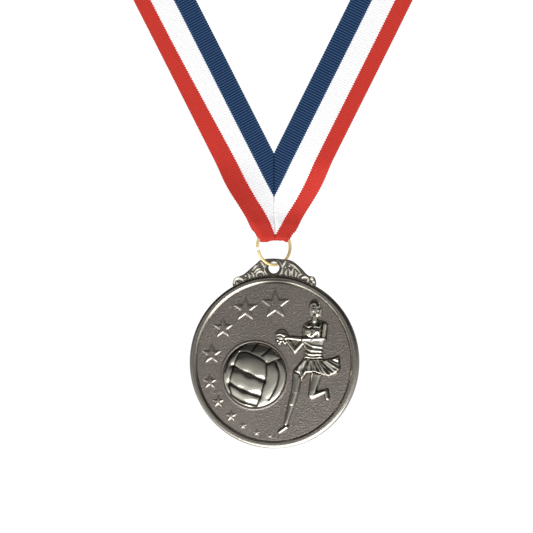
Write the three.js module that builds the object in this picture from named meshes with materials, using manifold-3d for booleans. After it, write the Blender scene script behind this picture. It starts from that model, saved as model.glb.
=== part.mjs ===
// Cast sports medal on a sewn neck ribbon, hanging from the wearer's neck.
// Millimetres, +Z up, the medal's face towards -Y. The origin is the point where the
// ribbon crosses the back of the neck.
import * as THREE from 'three';
import { mergeVertices } from 'three/addons/utils/BufferGeometryUtils.js';
import Module from 'manifold-3d';

const wasm = await Module();
wasm.setup();

// ---- driving dimensions ----
const discDiameter = 70;
const rimThickness = 4;
const rimWidth = 3.1;
const rimBevel = 0.9;
const fieldDepth = 1.1; // field below the rim's front
const grooveWidth = 0.5; // fine groove between rim and field step
const grooveDepth = 0.3;
const starHeight = 0.8;
const starBevel = 0.35;
const starInnerShare = 0.42; // inner corners' distance as a share of the outer ones'
const ballDiameter = 26.5;
const ballX = -7.8; // from the disc's centre
const ballZ = -5.6;
const ballRise = 1.6;
const ballEdge = 0.2; // upright edge below the ball's dome
const playerHeight = 1.0;
const playerBevel = 0.3;
const reliefRoot = 0.5; // raised work starts this far inside the casting

const lugHeight = 6.9; // lug's top above the disc's edge
const lugHalfSpan = 15.7; // to the middle of a wing tip
const lugThickness = 1.3;
const wingTipRadius = 1.75;
const wingTipDrop = 2.2; // wing tip's middle below the disc's top
const lugRoot = 8; // lug starts this far below the disc's top
const lugClear = 0.8; // from the field's edge to the lug's buried part
const shoulderDrop = 2.6; // where the lug's top turns down to the wings
const holeDiameter = 4.6;
const holeDepth = 3.7; // hole's centre below the lug's top
const scrollHeight = 0.7; // scrollwork proud of the lug's front
const scrollBevel = 0.25;
const scrollFromHole = 1.8;

const wireDiameter = 1.2;
const ringRadius = 7.4; // to the middle of the wire
const ringSplit = 1.2; // gap between the wire's two ends
const splitAngle = THREE.MathUtils.degToRad(188); // on the left, just below the middle
const ringTwist = THREE.MathUtils.degToRad(40); // ring's plane turned from the medal's face
const slantRoom = 0.6; // the wire passes the hole on a slant and needs this much round it

const ribbonWidth = 23;
const ribbonThickness = 0.8;
const legAngle = THREE.MathUtils.degToRad(27.2); // each leg from the vertical
const crotchHeight = 84.4; // inner edges meet, in the route's own height
const seamGap = 0.9; // between the two mitred ends
const threadDiameter = 0.5;
const flexHeight = 57; // cloth flexes here, in the route's own height
const flexGap = 1.2; // from the flex line to each solid

const tabThickness = 3;
const tabSlack = 0.25; // round the wire, inside the folded end
const tabLength = 6.8; // folded edge to the top
const tabFoldDrop = 2.3; // folded edge above the ring's centre
const tabRingGap = 0.28; // folded edge's corners to the ring's inner side
const tabTopHalfWidth = 10.6;
const tabWaistRise = 4.2; // above the folded edge, where the sides turn steep
const tabWaistInset = 0.6;
const stitchDrop = 1; // from the cloth's cut edges to the thread
const threadClear = 0.1;

const neckRun = 60; // the strip turns from its leg's plane to lie on the neck over this depth
const neckFlare = 0.3; // outward lean of the strip's lower edge on the neck

const around = 96; // segments round the disc

// ---- values that follow ----
const discRadius = discDiameter / 2;
const frontY = -rimThickness / 2;
const fieldY = frontY + fieldDepth;
const fieldRadius = discRadius - rimWidth;
const lugTop = discRadius + lugHeight;
const holeZ = lugTop - holeDepth; // from the disc's centre
const wireRadius = wireDiameter / 2;
const tabFoldHalfWidth = Math.sqrt((ringRadius - wireRadius - tabRingGap) ** 2 - tabFoldDrop ** 2);
// what hangs is placed from the flex line down: folded end, ring, medal
const ringCentreZ = flexHeight - flexGap - tabLength - tabFoldDrop;
const wireZ = ringCentreZ - ringRadius; // lowest point of the ring's centreline
const ringSeat = holeDiameter / 2 - wireRadius - slantRoom; // resting wire above the hole's centre
const medalZ = wireZ - ringSeat - holeZ;

// ---- helpers ----
function toSolid(geometry) {
  const bare = geometry.clone();
  bare.deleteAttribute('normal');
  bare.deleteAttribute('uv');
  const merged = mergeVertices(bare, 1e-4);
  return new wasm.Manifold(new wasm.Mesh({
    numProp: 3,
    vertProperties: new Float32Array(merged.attributes.position.array),
    triVerts: new Uint32Array(merged.index.array),
  }));
}

function toGeometry(solid) {
  const mesh = solid.getMesh();
  const geometry = new THREE.BufferGeometry();
  geometry.setAttribute('position', new THREE.BufferAttribute(new Float32Array(mesh.vertProperties), 3));
  geometry.setIndex(new THREE.BufferAttribute(new Uint32Array(mesh.triVerts), 1));
  return geometry;
}

// An outline in X and Z, given thickness along Y from yFront back to yBack.
function plate(shape, yFront, yBack, bevel = 0, curveSegments = 8) {
  const depth = yBack - yFront - bevel;
  const geometry = new THREE.ExtrudeGeometry(shape, {
    depth,
    curveSegments,
    bevelEnabled: bevel > 0,
    bevelThickness: bevel,
    bevelSize: bevel,
    bevelOffset: -bevel,
    bevelSegments: 1,
  });
  geometry.rotateX(Math.PI / 2); // the outline's Y goes up, its depth towards -Y
  return geometry.translate(0, yBack, 0);
}

function named(name, geometry, color, roughness, metalness) {
  const material = new THREE.MeshStandardMaterial({ color, roughness, metalness });
  const mesh = new THREE.Mesh(geometry, material);
  mesh.name = name;
  return mesh;
}

// ---- medal: one casting of disc, rim, relief and lug ----
function discSolid() {
  const r = discRadius;
  const groove = fieldRadius + grooveWidth;
  const profile = [
    [0, fieldY],
    [fieldRadius - 0.3, fieldY],
    [fieldRadius, fieldY - fieldDepth * 0.6],
    [fieldRadius + 0.05, frontY + grooveDepth],
    [groove, frontY + grooveDepth],
    [groove + 0.1, frontY],
    [r - rimBevel, frontY],
    [r - rimBevel * 0.3, frontY + rimBevel * 0.3],
    [r, frontY + rimBevel],
    [r, -frontY - rimBevel * 0.5],
    [r - rimBevel * 0.5, -frontY],
    [0, -frontY],
  ].map(([x, y]) => new THREE.Vector2(x, y));
  // the lathe turns about Y, which is the disc's own axis here
  return toSolid(new THREE.LatheGeometry(profile, around));
}

function starShape(x, z, radius) {
  const inner = radius * starInnerShare;
  const shape = new THREE.Shape();
  for (let i = 0; i < 10; i++) {
    const a = Math.PI / 2 + (i * Math.PI) / 5;
    const r = i % 2 ? inner : radius;
    const px = x + r * Math.cos(a);
    const pz = z + r * Math.sin(a);
    if (i === 0) shape.moveTo(px, pz);
    else shape.lineTo(px, pz);
  }
  shape.closePath();
  return shape;
}

// Ten stars sweep down the left side: angle in degrees, distance from the centre, size.
const stars = [
  [87.8, 23.1, 6.5], [118.4, 24.3, 5.5], [146.8, 25.0, 4.6], [173.0, 25.9, 4.5],
  [196.9, 27.6, 3.3], [215.3, 28.0, 2.8], [231.5, 28.1, 2.7], [244.3, 28.8, 1.8],
  [256.7, 29.6, 1.5], [267.5, 30.1, 1.2],
];

function starSolids() {
  return stars.map(([degrees, distance, size]) => {
    const a = THREE.MathUtils.degToRad(degrees);
    const bevel = Math.min(starBevel, size * 0.1);
    const shape = starShape(distance * Math.cos(a), distance * Math.sin(a), size);
    return toSolid(plate(shape, fieldY - starHeight * Math.min(1, size / 3), fieldY + reliefRoot, bevel));
  });
}

function ballSolid() {
  const radius = ballDiameter / 2;
  const steps = 6;
  const root = fieldY + reliefRoot;
  const profile = [new THREE.Vector2(0, root), new THREE.Vector2(radius, root)];
  for (let i = 0; i <= steps; i++) {
    const a = (i / steps) * (Math.PI / 2);
    profile.push(new THREE.Vector2(radius * Math.cos(a), fieldY - ballEdge - ballRise * Math.sin(a)));
  }
  const dome = new THREE.LatheGeometry(profile.reverse(), 40);
  return toSolid(dome.translate(ballX, 0, ballZ));
}

// The player's outline, anticlockwise from the crown of the head.
const playerOutline = [
  [17.2, 25.2], [15.2, 23.8], [14.6, 21.0], [16.0, 18.2], [16.2, 16.6], [12.2, 14.9],
  [10.6, 9.9], [5.4, 10.6], [2.2, 12.6], [0.6, 9.6], [2.6, 7.2], [6.8, 4.4], [9.8, 2.8],
  [12.6, 6.4], [12.6, 2.4], [9.4, -3.6], [12.0, -7.6], [9.6, -14.0], [5.4, -25.2],
  [2.6, -27.6], [2.4, -29.0], [6.4, -27.6], [8.2, -25.2], [11.8, -15.2], [14.4, -5.2],
  [16.0, -7.4], [15.2, -13.6], [17.2, -16.4], [19.6, -13.6], [23.0, -11.4], [22.6, -15.4],
  [24.2, -14.4], [25.2, -10.6], [22.4, -8.6], [19.4, -9.0], [20.4, -6.2], [26.4, -5.0],
  [27.6, 2.4], [21.0, 1.6], [22.4, 10.2], [22.6, 15.2], [18.2, 16.8], [19.8, 18.4], [20.4, 22.6],
];

function playerSolid() {
  const shape = new THREE.Shape(playerOutline.map(([x, z]) => new THREE.Vector2(x, z)));
  return toSolid(plate(shape, fieldY - playerHeight, fieldY + reliefRoot, playerBevel));
}

function lugShape() {
  const tipZ = discRadius - wingTipDrop;
  const shape = new THREE.Shape();
  shape.moveTo(-lugHalfSpan, discRadius - lugRoot);
  shape.lineTo(lugHalfSpan, discRadius - lugRoot);
  shape.absarc(lugHalfSpan, tipZ, wingTipRadius, -Math.PI / 2, Math.PI * 0.45);
  shape.quadraticCurveTo(lugHalfSpan * 0.8, discRadius + lugHeight * 0.3, lugHalfSpan * 0.62, lugTop - shoulderDrop);
  shape.quadraticCurveTo(lugHalfSpan * 0.45, lugTop, 0, lugTop);
  shape.quadraticCurveTo(-lugHalfSpan * 0.45, lugTop, -lugHalfSpan * 0.62, lugTop - shoulderDrop);
  shape.quadraticCurveTo(-lugHalfSpan * 0.8, discRadius + lugHeight * 0.3, -lugHalfSpan - 0.3, tipZ + wingTipRadius);
  shape.absarc(-lugHalfSpan, tipZ, wingTipRadius, Math.PI * 0.55, Math.PI * 1.5);
  shape.closePath();
  return shape;
}

// Raised scroll on one side of the hole, side = 1 or -1.
function scrollSolid(side) {
  const start = holeDiameter / 2 + scrollFromHole;
  const shape = new THREE.Shape();
  shape.moveTo(side * start, holeZ + 1.4);
  shape.quadraticCurveTo(side * 8, holeZ + 1.6, side * (lugHalfSpan - 1.6), discRadius - 1.6);
  shape.lineTo(side * (lugHalfSpan - 2.4), discRadius - 3);
  shape.quadraticCurveTo(side * 8, holeZ - 3, side * start, holeZ - 2.2);
  shape.closePath();
  return toSolid(plate(shape, -lugThickness / 2 - scrollHeight, 0, scrollBevel));
}

function medalGeometry() {
  const lug = toSolid(plate(lugShape(), -lugThickness / 2, lugThickness / 2, 0, 6));
  // the lug's lower part is buried in the rim and doesn't reach the field
  const coreRadius = fieldRadius + lugClear;
  const core = new THREE.CylinderGeometry(coreRadius, coreRadius, rimThickness * 3, around);
  const hole = new THREE.CylinderGeometry(holeDiameter / 2, holeDiameter / 2, rimThickness * 3, 40);
  const collar = lug.add(scrollSolid(1)).add(scrollSolid(-1)).subtract(toSolid(core));
  const disc = discSolid().add(ballSolid()).add(playerSolid());
  const relief = starSolids().reduce((whole, star) => whole.add(star), disc);
  const casting = relief.add(collar);
  return toGeometry(casting.subtract(toSolid(hole.translate(0, 0, holeZ))));
}

// ---- jump ring: round wire bent to a split ring ----
class RingArc extends THREE.Curve {
  getPoint(t, target = new THREE.Vector3()) {
    const half = ringSplit / 2 / ringRadius;
    const a = splitAngle + half + t * (2 * Math.PI - 2 * half);
    return target.set(ringRadius * Math.cos(a), 0, ringRadius * Math.sin(a));
  }
}

function wireSection(radius, sides) {
  const shape = new THREE.Shape();
  for (let i = 0; i < sides; i++) {
    const a = (i * 2 * Math.PI) / sides;
    if (i === 0) shape.moveTo(radius, 0);
    else shape.lineTo(radius * Math.cos(a), radius * Math.sin(a));
  }
  shape.closePath();
  return shape;
}

function ringGeometry() {
  return new THREE.ExtrudeGeometry(wireSection(wireRadius, 10), {
    steps: 60,
    extrudePath: new RingArc(),
  });
}

// ---- ribbon's folded end, sewn round the ring ----
function tabShape() {
  const top = flexHeight - flexGap - ringCentreZ;
  const shape = new THREE.Shape();
  shape.moveTo(-tabFoldHalfWidth, tabFoldDrop);
  shape.lineTo(tabFoldHalfWidth, tabFoldDrop);
  shape.lineTo(tabTopHalfWidth - tabWaistInset, tabFoldDrop + tabWaistRise);
  shape.lineTo(tabTopHalfWidth, top);
  shape.lineTo(-tabTopHalfWidth, top);
  shape.lineTo(-tabTopHalfWidth + tabWaistInset, tabFoldDrop + tabWaistRise);
  shape.closePath();
  return shape;
}

function tabGeometry() {
  const tunnelRadius = wireRadius + tabSlack;
  const profile = [];
  for (let i = 0; i <= 12; i++) {
    const a = (i * 2 * Math.PI) / 12;
    profile.push(new THREE.Vector2(ringRadius + tunnelRadius * Math.cos(a), tunnelRadius * Math.sin(a)));
  }
  const tunnel = new THREE.LatheGeometry(profile, 48);
  const body = toSolid(plate(tabShape(), -tabThickness / 2, tabThickness / 2));
  return toGeometry(body.subtract(toSolid(tunnel)));
}

function tabThreadGeometry() {
  const length = tabFoldHalfWidth * 2;
  const rod = new THREE.CylinderGeometry(threadDiameter / 2, threadDiameter / 2, length, 8);
  rod.rotateZ(Math.PI / 2);
  const z = flexHeight - flexGap - ringCentreZ - stitchDrop;
  return rod.translate(0, -tabThickness / 2 - threadDiameter / 2 - threadClear, z);
}

// ---- neck ribbon: one strip from the seam, up, round the neck and back to the seam ----
// Half of the centreline, from the V's point upwards. Z is the route's own height, 0 at the
// centre of a 70 mm disc.
const ribbonHalf = [
  [0, 0, 59.3], [12.9, 0, 84.4], [25.8, 0, 109.5], [38.8, 0, 134.8], [51.7, 0, 159.9],
  [64.6, 1, 185], [73, 8, 203], [81, 24, 220], [85, 46, 233], [84.5, 70, 242],
  [78, 94, 249], [66, 115, 255], [48, 132, 259], [25, 143, 262],
];
const neckBack = [0, 147, 263];

function ribbonCurve() {
  const right = ribbonHalf.map(([x, y, z]) => new THREE.Vector3(x, y, z));
  const left = ribbonHalf.map(([x, y, z]) => new THREE.Vector3(-x, y, z)).reverse();
  return new THREE.CatmullRomCurve3([...right, new THREE.Vector3(...neckBack), ...left], false, 'centripetal');
}

// Which way the strip's outer edge points: sideways on the legs, down round the neck.
function outerEdge(point, side) {
  const rise = THREE.MathUtils.smoothstep(point.y, 0, neckRun);
  const leg = new THREE.Vector3(side * Math.cos(legAngle), 0, -Math.sin(legAngle));
  const out = new THREE.Vector3(point.x, point.y - neckBack[1] / 2, 0).normalize();
  const neck = new THREE.Vector3(out.x * neckFlare, out.y * neckFlare, -1).normalize();
  return leg.lerp(neck, rise).normalize();
}

// The strip's two ends are cut on the seam line, so its first and last sections are slanted
// and the next ones stand clear of the mitre.
function ribbonGeometry() {
  const steps = 72;
  const curve = ribbonCurve();
  curve.arcLengthDivisions = 600;
  const mitreRun = (ribbonWidth / 2 / Math.tan(legAngle) + 1) / curve.getLength();
  const strip = new THREE.BoxGeometry(ribbonWidth, ribbonThickness, 1, 1, 1, steps);
  const position = strip.attributes.position;
  for (let i = 0; i < position.count; i++) {
    const section = Math.round((position.getZ(i) + 0.5) * steps);
    const mitred = section === 0 || section === steps;
    const even = mitreRun + ((section - 1) / (steps - 2)) * (1 - 2 * mitreRun);
    const t = mitred ? section / steps : even;
    const point = curve.getPointAt(t);
    const tangent = curve.getTangentAt(t);
    const side = t < 0.5 ? 1 : -1;
    const edge = outerEdge(point, side);
    edge.addScaledVector(tangent, -edge.dot(tangent)).normalize();
    const face = new THREE.Vector3().crossVectors(tangent, edge);
    point.addScaledVector(edge, position.getX(i));
    point.addScaledVector(face, position.getY(i));
    if (mitred) point.addScaledVector(tangent, ((side * seamGap) / 2 - point.x) / tangent.x);
    position.setXYZ(i, point.x, point.y, point.z);
  }
  const reach = ribbonWidth * 4;
  const below = new THREE.BoxGeometry(reach, reach, reach);
  below.translate(0, 0, flexHeight + flexGap - reach / 2);
  return toGeometry(toSolid(strip).subtract(toSolid(below)));
}

function seamThreadGeometry() {
  const length = crotchHeight - flexHeight - flexGap - stitchDrop * 2;
  const rod = new THREE.CylinderGeometry(threadDiameter / 2, threadDiameter / 2, length, 8);
  rod.rotateX(Math.PI / 2);
  return rod.translate(0, 0, flexHeight + flexGap + stitchDrop + length / 2);
}

// ---- assembly ----
const nickel = 0x7d7470;
const gold = 0xd4b56f;
const red = 0xc8352b;
const threadRed = 0xb03028;
const threadWhite = 0xe8e8ea;

const hanger = new THREE.Group();
hanger.position.set(0, 0, ringCentreZ);
hanger.rotation.z = ringTwist;
hanger.add(
  named('jump_ring', ringGeometry(), gold, 0.3, 1),
  named('ribbon_end', tabGeometry(), red, 0.8, 0),
  named('end_thread', tabThreadGeometry(), threadRed, 0.8, 0),
);

const medal = named('medal', medalGeometry(), nickel, 0.4, 1);
medal.position.z = medalZ;

const whole = new THREE.Group();
whole.add(
  medal,
  hanger,
  named('neck_ribbon', ribbonGeometry(), red, 0.8, 0),
  named('seam_thread', seamThreadGeometry(), threadWhite, 0.8, 0),
);
whole.position.set(-neckBack[0], -neckBack[1], -neckBack[2]);

const model = new THREE.Group();
model.add(whole);
export default model;
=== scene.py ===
import math

import bmesh
import bpy
import numpy as np
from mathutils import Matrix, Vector


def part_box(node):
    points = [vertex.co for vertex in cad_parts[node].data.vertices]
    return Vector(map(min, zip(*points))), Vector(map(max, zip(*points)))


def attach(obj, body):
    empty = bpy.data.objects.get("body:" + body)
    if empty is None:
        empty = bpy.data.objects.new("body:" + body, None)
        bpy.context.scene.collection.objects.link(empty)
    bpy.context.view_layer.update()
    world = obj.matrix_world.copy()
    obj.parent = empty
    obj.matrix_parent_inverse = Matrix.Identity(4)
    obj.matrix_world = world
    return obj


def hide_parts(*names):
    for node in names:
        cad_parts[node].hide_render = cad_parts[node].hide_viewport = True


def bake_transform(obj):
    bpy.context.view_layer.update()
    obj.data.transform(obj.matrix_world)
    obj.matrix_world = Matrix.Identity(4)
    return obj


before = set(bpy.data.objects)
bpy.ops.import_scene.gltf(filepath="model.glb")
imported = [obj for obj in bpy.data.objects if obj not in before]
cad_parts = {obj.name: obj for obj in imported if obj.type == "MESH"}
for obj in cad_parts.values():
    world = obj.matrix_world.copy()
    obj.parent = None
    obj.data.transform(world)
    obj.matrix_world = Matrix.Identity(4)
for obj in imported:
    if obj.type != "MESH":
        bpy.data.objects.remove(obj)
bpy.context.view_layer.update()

# A cast sports medal on a sewn neck ribbon. Lengths in the dictionaries are millimetres
# from the middle of the disc: x to the right, y to the back, z up.

mm = 0.001
rimHalf = 2.0  # half of the rim's thickness
foldAboveRing = 2.3  # the ribbon's folded edge above the ring's centre

medalLow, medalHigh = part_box("medal")
discRadius = (medalHigh.x - medalLow.x) / 2 / mm
discMiddle = Vector((
    (medalLow.x + medalHigh.x) / 2,
    medalHigh.y - rimHalf * mm,
    medalLow.z + discRadius * mm,
))
foldZ = (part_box("ribbon_end")[0].z - discMiddle.z) / mm  # the ribbon's folded edge
ringCentreZ = foldZ - foldAboveRing


# millimetres from the disc's middle to metres in the frame
def place(points):
    return np.asarray(points, float) * mm + np.array(discMiddle)


def smooth(t):
    t = np.clip(t, 0, 1)
    return t * t * (3 - 2 * t)


# 1 in the middle, fading to nothing beyond 2 on either side
def bell(a, b=0):
    return np.exp(-a ** 2 - b ** 2)


# height of a half-round top: 1 in the middle, 0 at a share of 1
def roundTop(share):
    return np.sqrt(np.clip(1 - share ** 2, 0, 1))


# a grid's cells as faces of four points
def cellsOf(grid):
    return np.c_[grid[:-1, :-1].ravel(), grid[:-1, 1:].ravel(), grid[1:, 1:].ravel(), grid[1:, :-1].ravel()]


# Camera, floor and light
shot = {"azimuth": 13, "elevation": -3, "distance": 1.15, "across": 216.6, "aimX": -3.1, "aimZ": 38.7}
studio = {
    "floorDrop": 260, "floorSize": 3, "floorShade": 0.9, "key": 2.9, "fill": 1.6, "back": 1.5, "under": 1.6,
    "soft": 0.62, "paper": 1.05,
}
# What polished metal sees from straight below (0) to straight above (1): a bright table,
# a grey horizon and a dark upper room give cast metal its contrast.
roomLight = [
    (0, 1.4), (0.14, 1.3), (0.24, 0.6), (0.38, 0.4), (0.5, 0.33), (0.56, 0.22), (0.65, 0.04), (0.9, 0.025),
    (1, 0.18),
]


def makeCamera():
    turn, tilt = math.radians(shot["azimuth"]), math.radians(shot["elevation"])
    back = Vector((math.sin(turn) * math.cos(tilt), -math.cos(turn) * math.cos(tilt), math.sin(tilt)))
    aim = Vector(place([shot["aimX"], 0, shot["aimZ"]]))
    data = bpy.data.cameras.new("camera")
    data.sensor_width = 36
    data.lens = 36 * shot["distance"] / (shot["across"] * mm)
    camera = bpy.data.objects.new("camera", data)
    camera.location = aim + back * shot["distance"]
    camera.rotation_mode = "QUATERNION"
    camera.rotation_quaternion = (-back).to_track_quat("-Z", "Y")
    bpy.context.scene.collection.objects.link(camera)
    bpy.context.scene.camera = camera


def makeWorld():
    world = bpy.data.worlds.new("studio")
    bpy.context.scene.world = world
    world.use_nodes = True
    tree = world.node_tree
    tree.nodes.clear()
    out = tree.nodes.new("ShaderNodeOutputWorld")
    mixer = tree.nodes.new("ShaderNodeMixShader")
    path = tree.nodes.new("ShaderNodeLightPath")
    paper = tree.nodes.new("ShaderNodeBackground")
    room = tree.nodes.new("ShaderNodeBackground")
    paper.inputs["Color"].default_value = (1, 1, 1, 1)
    paper.inputs["Strength"].default_value = studio["paper"]
    coord = tree.nodes.new("ShaderNodeTexCoord")
    split = tree.nodes.new("ShaderNodeSeparateXYZ")
    ramp = tree.nodes.new("ShaderNodeValToRGB")
    for position, _ in roomLight[1:-1]:
        ramp.color_ramp.elements.new(position)
    for element, (_, value) in zip(ramp.color_ramp.elements, roomLight):
        element.color = (value, value, value, 1)
    shift = tree.nodes.new("ShaderNodeMapRange")
    shift.inputs["From Min"].default_value = -1
    tree.links.new(coord.outputs["Generated"], split.inputs[0])
    tree.links.new(split.outputs["Z"], shift.inputs["Value"])
    tree.links.new(shift.outputs["Result"], ramp.inputs["Fac"])
    tree.links.new(ramp.outputs["Color"], room.inputs["Color"])
    soft = tree.nodes.new("ShaderNodeBackground")
    soft.inputs["Strength"].default_value = studio["soft"]
    lit = tree.nodes.new("ShaderNodeMixShader")
    tree.links.new(path.outputs["Is Glossy Ray"], lit.inputs["Fac"])
    tree.links.new(soft.outputs[0], lit.inputs[1])
    tree.links.new(room.outputs[0], lit.inputs[2])
    tree.links.new(path.outputs["Is Camera Ray"], mixer.inputs["Fac"])
    tree.links.new(lit.outputs[0], mixer.inputs[1])
    tree.links.new(paper.outputs[0], mixer.inputs[2])
    tree.links.new(mixer.outputs[0], out.inputs["Surface"])


def addLamp(name, spot, aim, size, power, inMetal=False):
    data = bpy.data.lights.new(name, "AREA")
    data.shape = "RECTANGLE"
    data.size, data.size_y = size
    data.energy = power
    lamp = bpy.data.objects.new(name, data)
    lamp.location = place(spot)
    toAim = Vector(place(aim)) - lamp.location
    lamp.rotation_mode = "QUATERNION"
    lamp.rotation_quaternion = toAim.to_track_quat("-Z", "Y")
    lamp.visible_camera = False
    lamp.visible_glossy = inMetal  # only the low lamp shows in the polished metal
    bpy.context.scene.collection.objects.link(lamp)


def makeStage():
    half = studio["floorSize"] / 2
    z = discMiddle.z - studio["floorDrop"] * mm
    mesh = bpy.data.meshes.new("floor")
    corners = [(-half, -half, z), (half, -half, z), (half, half, z), (-half, half, z)]
    mesh.from_pydata(corners, [], [(0, 1, 2, 3)])
    floor = bpy.data.objects.new("floor", mesh)
    bpy.context.scene.collection.objects.link(floor)
    paint = bpy.data.materials.new("paleFloor")
    paint.use_nodes = True
    shader = paint.node_tree.nodes["Principled BSDF"]
    shader.inputs["Base Color"].default_value = (*[studio["floorShade"]] * 3, 1)
    shader.inputs["Roughness"].default_value = 0.9
    mesh.materials.append(paint)
    addLamp("key", (-420, -520, 620), (0, 0, 120), (0.5, 0.35), studio["key"])
    addLamp("fill", (560, -600, 120), (0, 0, 20), (0.4, 0.6), studio["fill"])
    addLamp("back", (200, 800, 300), (0, 60, 120), (0.5, 0.5), studio["back"])
    addLamp("under", (30, -130, -235), (0, -110, 0), (0.6, 0.3), studio["under"], inMetal=True)


makeCamera()
makeWorld()
makeStage()
bpy.context.scene.view_settings.view_transform = "Standard"
print("camera, floor and light ready")


# Helpers for materials and meshes
def nodeGroup(name, inputs, outputs):
    group = bpy.data.node_groups.new(name, "ShaderNodeTree")
    for label, kind, value in inputs:
        socket = group.interface.new_socket(name=label, in_out="INPUT", socket_type=kind)
        if value is not None:
            socket.default_value = value
    for label, kind in outputs:
        group.interface.new_socket(name=label, in_out="OUTPUT", socket_type=kind)
    return group, group.nodes.new("NodeGroupInput"), group.nodes.new("NodeGroupOutput")


def mathNode(tree, operation, first, second=None, third=None):
    node = tree.nodes.new("ShaderNodeMath")
    node.operation = operation
    for socket, value in zip(node.inputs, (first, second, third)):
        if value is None:
            continue
        if isinstance(value, (int, float)):
            socket.default_value = value
        else:
            tree.links.new(value, socket)
    return node.outputs[0]


def mixColour(tree, factor, first, second):
    node = tree.nodes.new("ShaderNodeMix")
    node.data_type = "RGBA"
    for socket, value in zip((node.inputs[0], node.inputs[6], node.inputs[7]), (factor, first, second)):
        if isinstance(value, bpy.types.NodeSocket):
            tree.links.new(value, socket)
        elif isinstance(value, tuple):
            socket.default_value = (*value, 1)
        else:
            socket.default_value = value
    return node.outputs[2]


def noise(tree, scale, detail, vector):
    node = tree.nodes.new("ShaderNodeTexNoise")
    node.inputs["Detail"].default_value = detail
    if isinstance(scale, (int, float)):
        node.inputs["Scale"].default_value = scale
    else:
        tree.links.new(scale, node.inputs["Scale"])
    tree.links.new(vector, node.inputs["Vector"])
    return node.outputs[0]


def pointValue(tree, name):
    node = tree.nodes.new("ShaderNodeAttribute")
    node.attribute_name = name
    return node.outputs["Fac"]


# Blasted grain from the piece's own coordinates: a fine height, painted glints on its tops and a slow tone.
def makeGrainGroup():
    group, start, end = nodeGroup(
        "blastedGrain",
        [("Scale", "NodeSocketFloat", 2600.0), ("Patch Scale", "NodeSocketFloat", 60.0)],
        [("Height", "NodeSocketFloat"), ("Tone", "NodeSocketFloat"), ("Glint", "NodeSocketFloat")],
    )
    where = group.nodes.new("ShaderNodeTexCoord").outputs["Object"]
    grain = noise(group, start.outputs["Scale"], 3, where)
    patches = noise(group, start.outputs["Patch Scale"], 2, where)
    group.links.new(grain, end.inputs["Height"])
    group.links.new(patches, end.inputs["Tone"])
    glints = group.nodes.new("ShaderNodeMapRange")
    glints.interpolation_type = "SMOOTHSTEP"
    glints.inputs["From Min"].default_value = 0.6
    glints.inputs["From Max"].default_value = 0.78
    group.links.new(grain, glints.inputs["Value"])
    group.links.new(glints.outputs["Result"], end.inputs["Glint"])
    return group


def addGroup(tree, group, **values):
    node = tree.nodes.new("ShaderNodeGroup")
    node.node_tree = group
    for label, value in values.items():
        node.inputs[label.replace("_", " ")].default_value = value
    return node


def newMaterial(name):
    material = bpy.data.materials.new(name)
    material.use_nodes = True
    tree = material.node_tree
    return material, tree, tree.nodes["Principled BSDF"]


def bumpInto(tree, shader, height, distance, strength=1.0):
    bump = tree.nodes.new("ShaderNodeBump")
    bump.inputs["Distance"].default_value = distance
    bump.inputs["Strength"].default_value = strength
    tree.links.new(height, bump.inputs["Height"])
    tree.links.new(bump.outputs["Normal"], shader.inputs["Normal"])


def addPiece(name, points, faces, material):
    mesh = bpy.data.meshes.new(name)
    mesh.from_pydata(np.asarray(points).tolist(), [], faces)
    mesh.update()
    return linkPiece(name, mesh, material)


def linkPiece(name, mesh, material):
    mesh.shade_smooth()
    mesh.materials.append(material)
    piece = bpy.data.objects.new(name, mesh)
    bpy.context.scene.collection.objects.link(piece)
    return piece


def pieceFromWork(name, work, material):
    mesh = bpy.data.meshes.new(name)
    work.to_mesh(mesh)
    work.free()
    return linkPiece(name, mesh, material)


# welds the points above a height that lie on each other, and turns the faces outwards
def mend(piece, weldWithin=0, above=-9):
    work = bmesh.new()
    work.from_mesh(piece.data)
    if weldWithin:
        joined = [v for v in work.verts if v.co.z > above]
        bmesh.ops.remove_doubles(work, verts=joined, dist=weldWithin)
        bmesh.ops.dissolve_degenerate(work, edges=work.edges, dist=1e-7)
    bmesh.ops.recalc_face_normals(work, faces=work.faces)
    work.to_mesh(piece.data)
    work.free()
    piece.data.shade_smooth()


def addValues(piece, name, values):
    layer = piece.data.attributes.new(name, "FLOAT", "POINT")
    layer.data.foreach_set("value", np.asarray(values, np.float32))


grainGroup = makeGrainGroup()

# Medal: rim, blasted field and relief
rim = {
    "fieldRadius": 31.9, "fieldY": -1.2, "bandIn": 32.75, "bandOut": 33.9, "backEdge": 0.5, "backSunk": 0.25,
    "unshadedArcs": ((126, 27), (54, 19)),  # where the step keeps its highlight, free of painted shade: degrees, half the reach
}
relief = {"cells": 276, "starHeight": 0.42, "starSlope": 0.5}

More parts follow.
